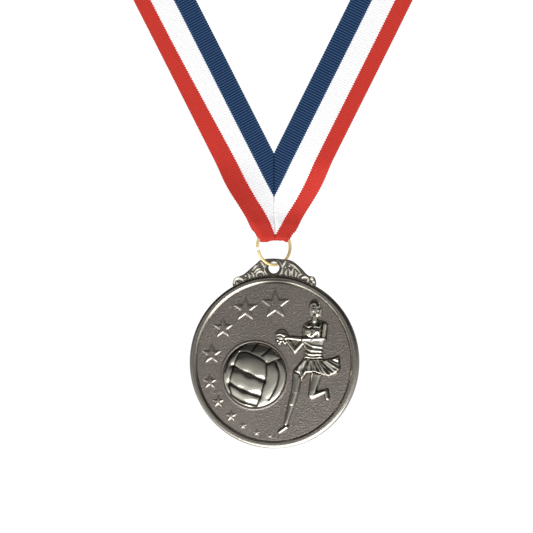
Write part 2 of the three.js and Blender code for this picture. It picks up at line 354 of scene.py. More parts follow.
# angle in degrees, distance from the middle, size of each star
stars = [
    (87.8, 23.1, 6.5), (118.4, 24.3, 5.5), (146.8, 25.0, 4.6), (173.0, 25.9, 4.5),
    (196.9, 27.6, 3.3), (215.3, 28.0, 2.8), (231.5, 28.1, 2.7), (244.3, 28.8, 1.8),
    (256.7, 29.6, 1.5), (267.5, 30.1, 1.2),
]
ball = {
    "x": -7.7, "z": -5.4, "radius": 13.1, "rise": 2.1, "step": 0.35, "seamWidth": 0.36, "seamDepth": 0.3,
    "pillowReach": 1.5, "crossReach": 1.15, "ballSeamShade": 0.5,
}
ballSeams = [  # how far the panels swell beside each seam, then points along it
    (0.12, [(-13.8, 3.8), (-11.0, 3.9), (-8.4, 3.0), (-5.4, 1.6), (-2.6, -0.2)]),
    (0.35, [(-13.8, 3.8), (-15.4, 0.7), (-17.0, -4.0), (-18.2, -8.8), (-17.6, -13.0)]),
    (0.35, [(-2.5, -0.5), (-2.5, -4.9), (-3.3, -7.8), (-4.9, -13.5), (-7.2, -18.2)]),
    (0.85, [(-16.8, -1.5), (-11.2, -4.3), (-3.5, -7.6)]),
    (0.95, [(-18.1, -8.6), (-12.8, -11.4), (-5.6, -13.9)]),
    (0.85, [(-17.7, -13.3), (-13.4, -15.9), (-7.6, -17.6)]),
    (0.08, [(-5.9, 7.7), (-8.5, 4.4)]),
    (0.08, [(-0.5, 5.6), (-4.2, 2.5)]),
    (0.15, [(-1.9, -0.8), (1.1, 0.5), (4.0, 1.4)]),
    (0.4, [(1.4, -0.1), (2.6, -4.9), (1.3, -10.4), (-1.6, -15.2)]),
    (0.2, [(-11.4, 7.0), (-16.0, 4.0), (-18.4, 0.6), (-20.0, -3.7)]),
]


def segmentDistance(x, z, a, b):
    ax, az, bx, bz = *a, *b
    dx, dz = bx - ax, bz - az
    t = np.clip(((x - ax) * dx + (z - az) * dz) / (dx * dx + dz * dz), 0, 1)
    return np.hypot(x - ax - t * dx, z - az - t * dz), t


def curveThrough(points, steps=6):
    points = np.asarray(points, float)
    if len(points) < 3:
        return points
    ends = np.vstack([2 * points[0] - points[1], points, 2 * points[-1] - points[-2]])
    out = []
    for i in range(1, len(ends) - 2):
        p0, p1, p2, p3 = ends[i - 1:i + 3]
        for t in np.arange(steps) / steps:
            out.append(0.5 * (2 * p1 + (p2 - p0) * t + (2 * p0 - 5 * p1 + 4 * p2 - p3) * t ** 2
                              + (3 * p1 - p0 - 3 * p2 + p3) * t ** 3))
    out.append(points[-1])
    return np.array(out)


def lineDistance(x, z, points):
    best = np.full(x.shape, 99.0)
    for a, b in zip(points[:-1], points[1:]):
        best = np.minimum(best, segmentDistance(x, z, a, b)[0])
    return best


# negative inside a closed outline
def outlineDistance(x, z, points):
    points = np.asarray(points, float)
    best = np.full(x.shape, 99.0)
    inside = np.zeros(x.shape, bool)
    for a, b in zip(points, np.roll(points, -1, 0)):
        best = np.minimum(best, segmentDistance(x, z, a, b)[0])
        crosses = (a[1] > z) != (b[1] > z)
        with np.errstate(divide="ignore", invalid="ignore"):
            at = (b[0] - a[0]) * (z - a[1]) / (b[1] - a[1]) + a[0]
        inside ^= crosses & (x < at)
    return np.where(inside, -best, best)


def starHeights(x, z):
    height = np.zeros(x.shape)
    for degrees, distance, size in stars:
        a = math.radians(degrees)
        cx, cz = distance * math.cos(a), distance * math.sin(a)
        near = np.hypot(x - cx, z - cz) < size * 1.1
        turns = math.pi / 2 + np.arange(10) * math.pi / 5
        reach = np.where(np.arange(10) % 2, size * 0.42, size)
        corners = np.c_[cx + reach * np.cos(turns), cz + reach * np.sin(turns)]
        depth = -outlineDistance(x[near], z[near], corners)
        slope = min(relief["starSlope"], size * 0.16)
        top = relief["starHeight"] * min(1, size / 3.2)
        height[near] = np.maximum(height[near], np.clip(depth / slope, 0, 1) * top)
    return height


def ballHeights(x, z):
    r = np.hypot(x - ball["x"], z - ball["z"]) / ball["radius"]
    dome = ball["step"] + ball["rise"] * roundTop(r)
    ballSeamShade = np.zeros(x.shape)
    for swell, seam in ballSeams:
        away = lineDistance(x, z, curveThrough(seam))
        dome -= min(ball["seamDepth"], 0.9 * swell) * bell(away / ball["seamWidth"])
        reach = ball["pillowReach"]
        if swell > 0.7:  # short, uneven swells beside the cross seams
            swell = swell * (0.8 + 0.25 * np.sin(0.9 * x - 0.35 * z + 2.6))
            reach = ball["crossReach"]
        dome -= swell * np.exp(-away / reach)  # the panels swell between their seams
        # painted shade along each seam
        ballSeamShade = np.maximum(ballSeamShade, 0.97 * bell(away / ball["ballSeamShade"]))
    ballSeamShade[r > 1] = 0
    edge = smooth((1 - r) * ball["radius"] / 0.35)
    border = 0.22 * bell((r - 1.045) * ball["radius"] / 0.35)
    return np.clip(dome, 0.1, None) * edge + border, ballSeamShade


# The player: limbs as (x, z, radius) from end to end with a height, clothes as outlines.
limbs = [
    ((17.2, 18.6, 0.85), (17.2, 16.4, 1.05), 1.1),   # neck
    ((21.5, 14.8, 0.95), (20.8, 9.4, 0.85), 1.65),  # near upper arm
    ((20.9, 9.2, 0.95), (12.6, 8.9, 0.9), 1.8),  # near forearm across the chest
    ((12.6, 8.9, 0.95), (5.6, 9.6, 0.7), 1.2),
    ((12.2, 7.6, 0.9), (9.1, 4.3, 0.95), 1.1),     # far arm, bent down and up to the hands
    ((9.1, 4.3, 0.95), (5.6, 8.6, 0.65), 1.1),
    ((10.3, -4.6, 1.95), (9.1, -12.3, 1.4), 1.45),  # standing leg
    ((9.1, -12.3, 1.4), (7.6, -17.0, 1.35), 1.35),
    ((7.6, -17.0, 1.35), (5.3, -25.2, 0.75), 1.15),
    ((5.5, -26.4, 0.85), (2.7, -28.5, 0.75), 1.3),  # shoe
    ((17.9, -5.0, 2.15), (16.0, -13.6, 1.35), 1.6),  # raised leg
    ((16.0, -14.0, 1.3), (21.4, -12.1, 0.85), 1.3),
    ((21.9, -11.8, 0.8), (22.4, -14.9, 0.75), 1.35),
]
shirt = [
    (12.3, 13.6), (13.1, 15.3), (15.9, 16.7), (18.6, 16.9), (21.0, 16.2), (22.3, 14.9), (22.0, 12.0),
    (21.2, 9.0), (20.4, 6.6), (20.5, 1.0), (12.8, 1.0), (13.1, 5.4), (12.1, 9.6),
]
shirtFolds = [
    [(12.3, 10.4), (16.1, 9.4), (18.6, 11.0)],
    [(12.8, 7.2), (16.4, 5.4), (20.6, 4.9)],
    [(13.0, 4.9), (15.7, 3.5), (20.6, 3.4)],
    [(12.8, 3.0), (16.4, 1.9), (20.6, 2.4)],
    [(15.4, 16.2), (16.6, 14.9), (18.0, 15.0), (19.2, 16.4)],
    [(13.0, 14.4), (14.6, 13.4), (16.2, 13.9)],
    [(17.4, 13.6), (19.2, 13.2), (20.6, 14.4)],
    [(20.6, 15.6), (20.3, 12.6), (19.9, 9.8)],
]
skirt = [
    (12.5, 1.3), (10.6, -1.2), (8.1, -4.0), (10.4, -5.0), (11.7, -8.1), (14.0, -4.9), (17.0, -4.6),
    (20.2, -5.7), (23.0, -6.3), (26.3, -5.0), (27.7, -3.2), (27.4, 2.4), (24.0, 1.2), (20.8, 0.8),
]


def playerHeights(x, z):
    height = np.zeros(x.shape)
    cloth = -outlineDistance(x, z, shirt)
    body = 1.55 * np.sqrt(np.clip(cloth / 4.2, 0, 1) * (2 - np.clip(cloth / 4.2, 0, 1)))
    for fold in shirtFolds:
        away = lineDistance(x, z, curveThrough(fold))
        body -= 0.42 * bell(away / 0.32) - 0.16 * bell((away - 0.9) / 0.4)
    body *= 0.5 + 0.5 * smooth((17.2 - z) / 4.6)  # the chest leans back to the shoulders
    for cx, cz, wide, rise in ((14.6, 11.9, 1.6, 0.6), (18.1, 11.9, 1.6, 0.6)):
        body += rise * roundTop(np.hypot(x - cx, z - cz) / wide)
    height = np.maximum(height, np.where(cloth > 0, np.clip(body, 0.25, None), 0))
    hem = -outlineDistance(x, z, skirt)
    spread = np.arctan2(z - 5.5, x - 16.8)
    pleats = (0.3 * np.cos(spread * 17) + 0.12 * np.cos(spread * 41 + 1.3 * z)) * smooth((2.4 - z) / 4)
    swell = smooth(hem / 0.7) * (1.35 + pleats) + 0.2 * smooth((-2.5 - z) / 2) * smooth(hem / 0.4)
    height = np.maximum(height, np.where(hem > 0, swell, 0))
    height = np.where((hem > 0) & (np.abs(z - 0.9 - 0.02 * (x - 17) ** 2) < 0.3), height * 0.75, height)
    for (ax, az, ar), (bx, bz, br), top in limbs:
        away, t = segmentDistance(x, z, (ax, az), (bx, bz))
        r = ar + (br - ar) * t
        limb = top * roundTop(away / r)
        if -6 < az < 0:
            limb = np.where(hem > 0, 0, limb)  # thighs come out from under the skirt
        height = np.maximum(height, limb)
    return np.maximum(height, np.maximum(headHeights(x, z), handBall(x, z)))


head = {"x": 17.35, "z": 21.35, "wide": 2.35, "tall": 3.75}


# A plain face turned a little to the left, under hair drawn back to a short tail.
def headHeights(x, z):
    u, v = x - head["x"], z - head["z"]
    r = np.hypot(u / head["wide"], v / head["tall"])
    skull = 1.25 * np.clip(1 - r ** 2, 0, 1) ** 0.5
    inFace = 1 - np.hypot((u + 0.5) / 1.6, (v + 0.6) / 2.5)
    skull -= 0.22 * smooth((inFace + 0.05) / 0.12)  # the face lies below the hair
    skull += np.where(inFace < 0, 0.07 * np.sin(9 * np.arctan2(v + 0.6, u + 0.5) + 3 * r), 0)
    for du in (-1.15, 0.05):
        skull -= 0.16 * bell((u - du) / 0.32, (v - 0.15) / 0.17)  # eyes
    skull += 0.16 * bell((u + 0.6) / 0.22, (v + 0.5) / 0.6)  # nose
    skull -= 0.14 * bell((u + 0.55) / 0.5, (v + 1.55) / 0.17)  # mouth
    out = np.where(r < 1, np.clip(skull, 0.12, None), 0)
    away, _ = segmentDistance(x, z, (19.6, 21.0), (19.2, 18.9))
    return np.maximum(out, 0.9 * roundTop(away / 0.6))


held = {"x": 3.5, "z": 10.4, "radius": 2.65, "rise": 1.35, "fingerRadius": 0.75, "fingerRise": 1.5}


# the small ball in the player's hands, with the finger tips round its lower side
def handBall(x, z):
    r = np.hypot(x - held["x"], z - held["z"])
    dome = held["rise"] * roundTop(r / held["radius"])
    for seam in ([(1.4, 11.6), (3.6, 12.1), (5.8, 11.3)], [(1.1, 10.2), (3.2, 10.6), (5.0, 9.6)]):
        dome -= 0.3 * bell(lineDistance(x, z, curveThrough(seam)) / 0.22)
    height = np.where(r < held["radius"], np.clip(dome, 0.15, None), 0)
    for fx, fz in ((2.0, 8.6), (3.2, 8.2), (4.4, 8.4), (5.3, 9.4), (4.9, 7.7), (2.6, 7.5)):
        away = np.hypot(x - fx, z - fz)
        height = np.maximum(height, held["fingerRise"] * roundTop(away / held["fingerRadius"]))
    return height


# painted shade on the player: dark patches on the upper chest and at the waist, and a darker coat on the
# bare legs and face
def figurePaintedShade(x, z):
    chest = smooth((1 - np.hypot((x - 16.6) / 4.8, (z - 14.3) / 1.9)) / 0.35)
    chest *= 0.6 + 0.4 * np.sin(2.1 * x + 0.8 * z + 1)
    waist = bell((z + 0.7) / 1.2) * smooth(2 * np.sin(2.3 * x + 0.9 * z + 0.6))
    waist *= np.abs(x - 16.5) < 5
    legs = 0.42 * smooth((-5.5 - z) / 1.5) * smooth((z + np.where(x < 13, 24.5, 12.5)) / 1.2)
    face = 0.28 * smooth((z - 17.5) / 1.5)
    return np.maximum(0.85 * np.maximum(chest, 0.8 * waist), np.maximum(legs, face))


# A square grid pressed into a disc, so that its outer cells follow the rim.
def makeField():
    n = relief["cells"]
    line = np.linspace(-1, 1, n + 1)
    sx, sz = np.meshgrid(line, line)
    x = (sx * np.sqrt(1 - sz ** 2 / 2) * rim["fieldRadius"]).ravel()
    z = (sz * np.sqrt(1 - sx ** 2 / 2) * rim["fieldRadius"]).ravel()
    starry = starHeights(x, z)
    figure = np.maximum(playerHeights(x, z), 0)
    dome, ballSeamShade = ballHeights(x, z)
    polishAndPaintedHighlight = np.maximum(smooth(figure / 0.25), smooth((dome - 0.18) / 0.2))
    # painted highlight on the stars' downward-facing slopes with the bright polish colour, and painted light
    # on the upward-facing ones with a little of the pale wear colour
    slopes = (starry > 0.04) & (starry < relief["starHeight"] * 0.9)
    faceDown = np.gradient(starry.reshape(n + 1, n + 1), axis=0).ravel() > 0
    polishAndPaintedHighlight = np.maximum(polishAndPaintedHighlight, np.where(slopes & faceDown, 0.65, 0))
    wearAndPaintedLight = np.where(slopes & ~faceDown, 0.15, 0)
    height = np.maximum(np.maximum(starry, dome), figure)
    inner = np.hypot(x, z) > rim["fieldRadius"] - 1e-3
    height[inner] = 0
    grid = height.reshape(n + 1, n + 1)
    wide = grid.copy()
    for _ in range(4):
        wide[1:-1, 1:-1] = (wide[:-2, 1:-1] + wide[2:, 1:-1] + wide[1:-1, :-2] + wide[1:-1, 2:]) / 4
    patinaAndShade = np.clip((wide - grid - 0.02) / 0.2, 0, 1).ravel()
    patinaAndShade = np.where(starry > 0, 0.8 * patinaAndShade, patinaAndShade)
    # painted shade on the player, over a stronger patina in its hollows
    patinaAndShade = np.where(figure > 0.3, np.maximum(1.5 * patinaAndShade, figurePaintedShade(x, z)), patinaAndShade)
    # painted shade along the ball's seams
    patinaAndShade = np.maximum(patinaAndShade, np.where(dome > figure, ballSeamShade, 0))
    points = np.c_[x, rim["fieldY"] - height, z]
    index = np.arange((n + 1) ** 2).reshape(n + 1, n + 1)
    border = np.concatenate([index[0, :-1], index[:-1, -1], index[-1, :0:-1], index[:0:-1, 0]])
    return points, cellsOf(index).tolist(), border, polishAndPaintedHighlight, patinaAndShade, wearAndPaintedLight


# Rim, edge and back go round from the field's own border, ring by ring:
# radius, depth, polish and darkening of each ring.
def rimProfile():
    r, front, back = discRadius, -rimHalf, rimHalf
    inside, step = rim["fieldRadius"], rim["fieldY"]
    foot, lip = inside + 0.18, step - 0.08
    profile = [(inside + 0.06, step + 0.08, 0.2, 0.75), (inside + 0.12, step + 0.02, 0.7, 0.6)]
    profile.append((foot, lip, 1, 0.1))
    for share, climb in ((0.34, 0.47), (0.69, 0.86), (1, 1)):  # the step rounds over into the band
        profile.append((foot + share * (rim["bandIn"] - foot), lip + climb * (front - lip), 1, 0))
    profile += [(rim["bandIn"] + 0.1, front, 0.3, 0.08), (rim["bandOut"] - 0.15, front, 0.3, 0.08)]
    profile += [(rim["bandOut"], front, 0.3, 0.1)]
    bevel = r - rim["bandOut"]
    for degrees in (18, 36, 54, 72, 90):
        a = math.radians(degrees)
        profile.append((rim["bandOut"] + bevel * math.sin(a), front + bevel * (1 - math.cos(a)), 0.6, 0.2))
    edge, sunk = rim["backEdge"], rim["backSunk"]
    profile += [(r, 0, 0.6, 0.2), (r, back - edge, 0.6, 0.2)]
    for degrees in (30, 60, 90):
        a = math.radians(degrees)
        profile.append((r - edge * (1 - math.cos(a)), back - edge * (1 - math.sin(a)), 0.6, 0.2))
    for inset, drop in ((2.6, 0), (2.9, sunk), (3.4, sunk), (12, sunk), (r - 0.6, sunk)):
        profile.append((r - inset, back - drop, 0.6, 0.2))
    return np.array(profile)


def makeMedal(material):
    points, faces, border, polishAndPaintedHighlight, patinaAndShade, wearAndPaintedLight = makeField()
    angle = np.arctan2(points[border, 2], points[border, 0])
    profile = rimProfile()
    around = len(angle)
    previous, base, rings = border, len(points), []
    for radius, y in profile[:, :2]:
        rings.append(np.c_[radius * np.cos(angle), np.full(around, y), radius * np.sin(angle)])
        current = base + np.arange(around)
        after, before = np.roll(current, -1), np.roll(previous, -1)
        faces += np.c_[previous, before, after, current].tolist()
        previous, base = current, base + around
    faces.append(previous.tolist())
    shadeAndPatina = np.repeat(profile[:, 3:], around, 1)
    # painted shade over the step, left off at the upper left and upper right, and darkest under the lug
    degrees = np.degrees(angle)
    unshaded = sum(np.exp(-((degrees - at) / wide) ** 4) for at, wide in rim["unshadedArcs"])
    shadeUnderLug = np.exp(-((degrees - 90) / 15) ** 4)
    shadeAndPatina[1:7] += (1 - np.clip(unshaded, 0, 1)) * (0.28 + 0.65 * shadeUnderLug)
    shadeAndPatina[9:14] += 0.5 * np.exp(-((degrees - 90) / 27) ** 4)  # painted shade on the bevel behind the lug's foot
    medal = addPiece("medalDisc", place(np.vstack([points, *rings])), faces, material)
    addValues(medal, "polishAndPaintedHighlight", np.concatenate([polishAndPaintedHighlight, np.repeat(profile[:, 2], around)]))
    addValues(medal, "patinaAndShade", np.concatenate([patinaAndShade, shadeAndPatina.ravel()]))
    addValues(medal, "wearAndPaintedLight", np.concatenate([wearAndPaintedLight, np.zeros(shadeAndPatina.size)]))
    mend(medal)
    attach(medal, "medal")
    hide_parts("medal")
    return medal


# Lug: pierced plate with scrollwork, cast with the disc
lug = {
    "thickness": 1.3, "bevel": 0.18, "holeRadius": 2.35, "holeZ": 38.2, "bossRadius": 0.34, "bossGap": 0.62,
    "knobFront": 0.55, "voxel": 0.14, "shadeAndPatina": 0.5,
}
lugOutline = [
    (-15.2, 29.0), (-16.9, 30.6), (-17.1, 32.4), (-16.2, 34.2), (-14.2, 34.9), (-12.4, 35.7), (-10.2, 37.5),
    (-7.2, 40.0), (-5.6, 41.3), (-3.0, 41.8), (0.2, 41.9), (3.4, 41.6), (6.6, 41.2), (8.8, 40.0),
    (11.4, 37.7), (13.2, 35.7), (14.6, 34.7), (16.6, 34.2), (17.4, 32.3), (17.2, 30.4), (15.2, 29.0),
    (0, 32.6),
]
scrolls = [  # points (x, z), with a radius at each
    [(-5.4, 40.9, 0.4), (-4.4, 39.6, 0.55), (-3.7, 38.2, 0.4)],  # a V each side of the hole
    [(-2.4, 41.0, 0.3), (-3.0, 39.8, 0.42), (-3.7, 38.2, 0.4)],
    [(-3.8, 38.2, 0.35), (-3.5, 36.6, 0.5), (-2.3, 35.1, 0.35)],
    [(5.2, 40.9, 0.4), (4.3, 39.6, 0.55), (3.7, 38.2, 0.4)],
    [(2.4, 41.0, 0.3), (3.0, 39.8, 0.42), (3.7, 38.2, 0.4)],
    [(3.8, 38.2, 0.35), (3.5, 36.6, 0.5), (2.3, 35.1, 0.35)],
    [(-4.6, 34.3, 0.35), (-4.0, 35.4, 0.45), (-5.0, 36.7, 0.5), (-6.6, 36.4, 0.5), (-7.0, 35.0, 0.45),
     (-5.9, 34.2, 0.4), (-5.1, 35.0, 0.4), (-5.7, 35.6, 0.3)],  # left spiral
    [(-5.4, 38.0, 0.3), (-6.8, 37.6, 0.5), (-8.0, 36.4, 0.35)],
    [(-6.3, 39.6, 0.3), (-7.6, 38.7, 0.5), (-8.8, 37.4, 0.35)],
    [(-8.4, 33.9, 0.35), (-8.3, 35.2, 0.55), (-9.2, 36.5, 0.4)],
    [(-10.2, 33.6, 0.35), (-10.0, 34.8, 0.55), (-10.8, 36.2, 0.35)],
    [(-16.6, 32.0, 0.5), (-15.7, 33.8, 0.6), (-13.8, 33.9, 0.6), (-12.4, 32.6, 0.5), (-13.4, 31.5, 0.5),
     (-15.0, 31.7, 0.55), (-15.4, 32.5, 0.4)],  # left wing tip
    [(5.8, 34.5, 0.4), (5.1, 35.8, 0.55), (5.6, 37.6, 0.35)],  # leaves
    [(6.5, 34.9, 0.35), (6.9, 36.2, 0.5), (6.2, 37.9, 0.35)],
    [(7.9, 34.4, 0.35), (7.7, 36.3, 0.55), (8.4, 38.1, 0.35)],
    [(8.7, 34.2, 0.35), (9.4, 35.5, 0.5), (9.0, 37.2, 0.35)],
    [(6.4, 39.8, 0.35), (8.3, 38.9, 0.5), (10.2, 37.2, 0.45), (11.6, 35.5, 0.35)],
    [(10.0, 33.8, 0.35), (10.6, 35.2, 0.45), (11.8, 35.6, 0.3)],
    [(11.6, 33.9, 0.4), (13.0, 34.3, 0.6), (14.4, 33.3, 0.5), (13.6, 32.1, 0.4), (12.3, 32.4, 0.4)],
]
knobs = [  # x, z, radius
    (15.9, 33.5, 0.75), (16.6, 32.2, 0.65), (15.7, 31.1, 0.65), (14.9, 32.0, 0.4), (-2.0, 34.6, 0.5),
    (2.1, 34.5, 0.6), (-9.5, 35.3, 0.35), (-11.7, 35.1, 0.4), (9.8, 36.1, 0.35), (0.1, 41.1, 0.3),
    (-11.9, 33.8, 0.35), (-1.3, 41.2, 0.28), (1.5, 41.1, 0.28), (6.6, 38.9, 0.4), (5.0, 38.4, 0.35),
    (-6.2, 38.6, 0.3), (7.4, 33.9, 0.3),
]


def flatCurve(name, loops, thickness, bevel):
    curve = bpy.data.curves.new(name, "CURVE")
    curve.dimensions = "2D"
    curve.fill_mode = "BOTH"
    curve.extrude = thickness / 2 - bevel
    curve.bevel_depth = bevel
    curve.bevel_resolution = 2
    curve.offset = -bevel
    for loop in loops:
        spline = curve.splines.new("POLY")
        spline.points.add(len(loop) - 1)
        for point, (x, z) in zip(spline.points, loop):
            point.co = (x, z, 0, 1)
        spline.use_cyclic_u = True
    return curve


def roundCurve(name, points, depth=-0.55):
    curve = bpy.data.curves.new(name, "CURVE")
    curve.dimensions = "3D"
    curve.bevel_depth = 1
    curve.bevel_resolution = 3
    curve.use_fill_caps = True
    curve.resolution_u = 6
    spline = curve.splines.new("BEZIER")
    spline.bezier_points.add(len(points) - 1)
    for point, (x, z, radius) in zip(spline.bezier_points, points):
        point.co = (x, z, -depth)
        point.radius = radius * 0.9
        point.handle_left_type = point.handle_right_type = "AUTO"
    return curve


def meshOf(curve):
    holder = bpy.data.objects.new("holder", curve)
    bpy.context.scene.collection.objects.link(holder)
    mesh = bpy.data.meshes.new_from_object(holder.evaluated_get(bpy.context.evaluated_depsgraph_get()))
    bpy.data.objects.remove(holder)
    return mesh


def aroundHole(radius, angle):
    return radius * math.cos(angle), lug["holeZ"] + radius * math.sin(angle)


def makeLug(material):
    turns = np.linspace(0, 2 * math.pi, 48, endpoint=False)
    hole = [aroundHole(lug["holeRadius"], a) for a in turns]
    outline = curveThrough(lugOutline + lugOutline[:1], 4)[:-1].tolist()
    work = bmesh.new()
    work.from_mesh(meshOf(flatCurve("lugPlate", [outline, hole], lug["thickness"], lug["bevel"])))
    for scroll in scrolls:
        work.from_mesh(meshOf(roundCurve("scroll", scroll)))
    bossLine = lug["holeRadius"] + lug["bossGap"]
    boss = [(*aroundHole(bossLine, a), lug["bossRadius"]) for a in turns[::3]]
    ring = roundCurve("boss", boss, -0.38)
    ring.splines[0].use_cyclic_u = True
    work.from_mesh(meshOf(ring))
    for x, z, radius in knobs:
        made = bmesh.ops.create_icosphere(work, subdivisions=2, radius=radius)
        bmesh.ops.translate(work, verts=made["verts"], vec=(x, z, lug["knobFront"]))
    for vert in work.verts:  # the curves' flat plane stands up, front towards -y
        x, z, forward = vert.co
        vert.co = place((x, -forward, z))
    piece = pieceFromWork("medalLug", work, material)
    weldCasting(piece, lug["voxel"] * mm)
    co = np.array([v.co for v in piece.data.vertices])
    front = (discMiddle.y - co[:, 1]) / mm
    high = smooth((front - 0.72) / 0.25)  # the scrollwork's tops are rubbed bright, and painted pale as a painted highlight
    x, z = (co[:, 0] - discMiddle.x) / mm, (co[:, 2] - discMiddle.z) / mm
    boss = np.exp(-((np.hypot(x, z - lug["holeZ"]) - lug["holeRadius"] - 0.4) / 0.55) ** 4) * (front > 0)
    foot = bell((np.hypot(x, z) - discRadius) / 0.6) * (np.abs(x) < 13)
    glints = np.sin(8.3 * x + 4.1 * z) * np.sin(6.7 * z - 5.2 * x + 1)  # painted glints here and there in the hollows
    glints = 0.5 * smooth((glints - 0.5) / 0.3) * (front > 0.4)
    low = np.where(front > 0.3, lug["shadeAndPatina"] * (1 - high), 0.08) * (1 - glints)
    addValues(piece, "polishAndPaintedHighlight", 0.5 + 0.5 * high)
    addValues(piece, "patinaAndShade", np.maximum(low, np.maximum(0.7 * boss, 0.6 * foot)))
    addValues(piece, "wearAndPaintedLight", np.maximum(high, glints) * (1 - boss))
    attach(piece, "medal")
    return piece


# one skin over all of the castings' shapes, with soft inner corners
def weldCasting(piece, size):
    remesh = piece.modifiers.new("weld", "REMESH")
    remesh.mode = "VOXEL"
    remesh.voxel_size = size
    soften = piece.modifiers.new("soften", "SMOOTH")
    soften.factor = 0.5
    soften.iterations = 1
    graph = bpy.context.evaluated_depsgraph_get()
    mesh = bpy.data.meshes.new_from_object(piece.evaluated_get(graph))
    piece.modifiers.clear()
    piece.data = mesh
    mesh.shade_smooth()


nickel = {
    "satin": (0.36, 0.315, 0.285), "bright": (0.83, 0.79, 0.68), "glint": (0.8, 0.74, 0.66),
    "shadeAndPatina": (0.035, 0.03, 0.026), "grainScale": 1900.0, "patchScale": 70.0, "toneSpread": 0.15,
    "wearAndPaintedLight": (0.95, 0.91, 0.78), "satinRough": 0.4, "brightRough": 0.11, "wearAndPaintedLightMetal": 0.42, "grain": 0.00018,
}


def nickelMaterial():
    material, tree, shader = newMaterial("antiqueNickel")
    grain = addGroup(tree, grainGroup, Scale=nickel["grainScale"], Patch_Scale=nickel["patchScale"])
    polishAndPaintedHighlight, patinaAndShade, wearAndPaintedLight = (pointValue(tree, name) for name in ("polishAndPaintedHighlight", "patinaAndShade", "wearAndPaintedLight"))
    dark = tuple(c * (1 - nickel["toneSpread"]) for c in nickel["satin"])
    pale = tuple(c * (1 + nickel["toneSpread"]) for c in nickel["satin"])
    satin = mixColour(tree, grain.outputs["Tone"], dark, pale)
    # painted glints: the grain's tops get a paler colour
    satin = mixColour(tree, grain.outputs["Glint"], satin, nickel["glint"])
    # bright polish on the relief and rim, with a painted highlight on the stars' lower slopes and the lug's
    # tops
    metal = mixColour(tree, polishAndPaintedHighlight, satin, nickel["bright"])
    # the pale wear colour, less metallic: rubbed lug tops with a painted highlight, painted glints, and
    # painted light on the stars' upward slopes
    metal = mixColour(tree, wearAndPaintedLight, metal, nickel["wearAndPaintedLight"])
    metallic = mathNode(tree, "MULTIPLY_ADD", wearAndPaintedLight, nickel["wearAndPaintedLightMetal"] - 1, 1)
    tree.links.new(metallic, shader.inputs["Metallic"])
    # patina in the hollows and painted shade darken the metal
    tree.links.new(mixColour(tree, patinaAndShade, metal, nickel["shadeAndPatina"]), shader.inputs["Base Color"])
    spread = nickel["brightRough"] - nickel["satinRough"]
    rough = mathNode(tree, "MULTIPLY_ADD", polishAndPaintedHighlight, spread, nickel["satinRough"])
    tree.links.new(rough, shader.inputs["Roughness"])
    calm = mathNode(tree, "SUBTRACT", 1.0, polishAndPaintedHighlight)
    bumpInto(tree, shader, mathNode(tree, "MULTIPLY", grain.outputs["Height"], calm), nickel["grain"])
    return material


nickelPaint = nickelMaterial()
medalDisc = makeMedal(nickelPaint)
medalLug = makeLug(nickelPaint)
print("medal ready", len(medalDisc.data.polygons), len(medalLug.data.polygons))

# Jump ring
wire = {
    "radius": 0.6, "ringRadius": 7.4, "twist": 40, "split": 1.2, "splitAt": 188, "spring": 0.3,
    "sides": 14, "steps": 150,
}


# a point on the ring's plane: along the plane, out of it, up from the ring's centre
def onRing(along, out, up):
    turn = math.radians(wire["twist"])
    across = along * math.cos(turn) - out * math.sin(turn)
    return across, along * math.sin(turn) + out * math.cos(turn), up + ringCentreZ


def makeRing(material):
    points, faces, sides = [], [], wire["sides"]
    half = wire["split"] / 2 / wire["ringRadius"]
    first = math.radians(wire["splitAt"]) + half
    sweep = 2 * math.pi - 2 * half
    # share of the way round and of the wire's radius, with softly rounded cut ends
    stations = [(0.0, 0.0), (0.0, 0.82), (0.0008, 0.97)]
    stations += [(t, 1.0) for t in np.linspace(0.003, 0.997, wire["steps"])]
    stations += [(0.9992, 0.97), (1.0, 0.82), (1.0, 0.0)]
    for t, share in stations:
        a = first + sweep * t
        out = wire["spring"] * (2 * t - 1) * abs(2 * t - 1) ** 5  # the ends spring a little apart
        for k in range(sides):
            b = 2 * math.pi * k / sides
            thick = wire["radius"] * share
            r = wire["ringRadius"] + thick * math.cos(b)
            points.append(onRing(r * math.cos(a), out + thick * math.sin(b), r * math.sin(a)))
    rows = len(stations)
    for i in range(rows - 1):
        for k in range(sides):
            n = (k + 1) % sides
            faces.append((i * sides + k, i * sides + n, (i + 1) * sides + n, (i + 1) * sides + k))
    piece = addPiece("splitRing", place(points), faces, material)
    mend(piece, weldWithin=1e-7)
    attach(piece, "ring")
    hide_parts("jump_ring")
    return piece


gold = {"bright": (0.97, 0.76, 0.36), "dull": (0.85, 0.6, 0.24), "metallic": 0.4, "rough": (0.2, 0.36)}


def goldMaterial():
    material, tree, shader = newMaterial("goldWire")
    grain = addGroup(tree, grainGroup, Scale=3000.0, Patch_Scale=400.0)
    shader.inputs["Metallic"].default_value = gold["metallic"]
    tone = grain.outputs["Tone"]
    tree.links.new(mixColour(tree, tone, gold["bright"], gold["dull"]), shader.inputs["Base Color"])
    low, high = gold["rough"]
    rough = mathNode(tree, "MULTIPLY_ADD", tone, high - low, low)
    tree.links.new(rough, shader.inputs["Roughness"])
    bumpInto(tree, shader, grain.outputs["Height"], 0.00001)
    return material


splitRing = makeRing(goldMaterial())
print("ring ready")

# Neck ribbon
ribbon = {
    "width": 23.0, "angle": 27.2, "ribPitch": 1.05, "rowStep": 0.2625, "half": 0.22, "scallop": 0.24,
    "rib": 0.036, "crotch": 84.4, "flapTop": 63.0, "twistTop": 82.0, "twistFoot": 55.0, "seamShift": 1.5,
    "leftTuck": 1.7, "straight": 60, "flexTop": 63.5, "flexFoot": 55.5,
}
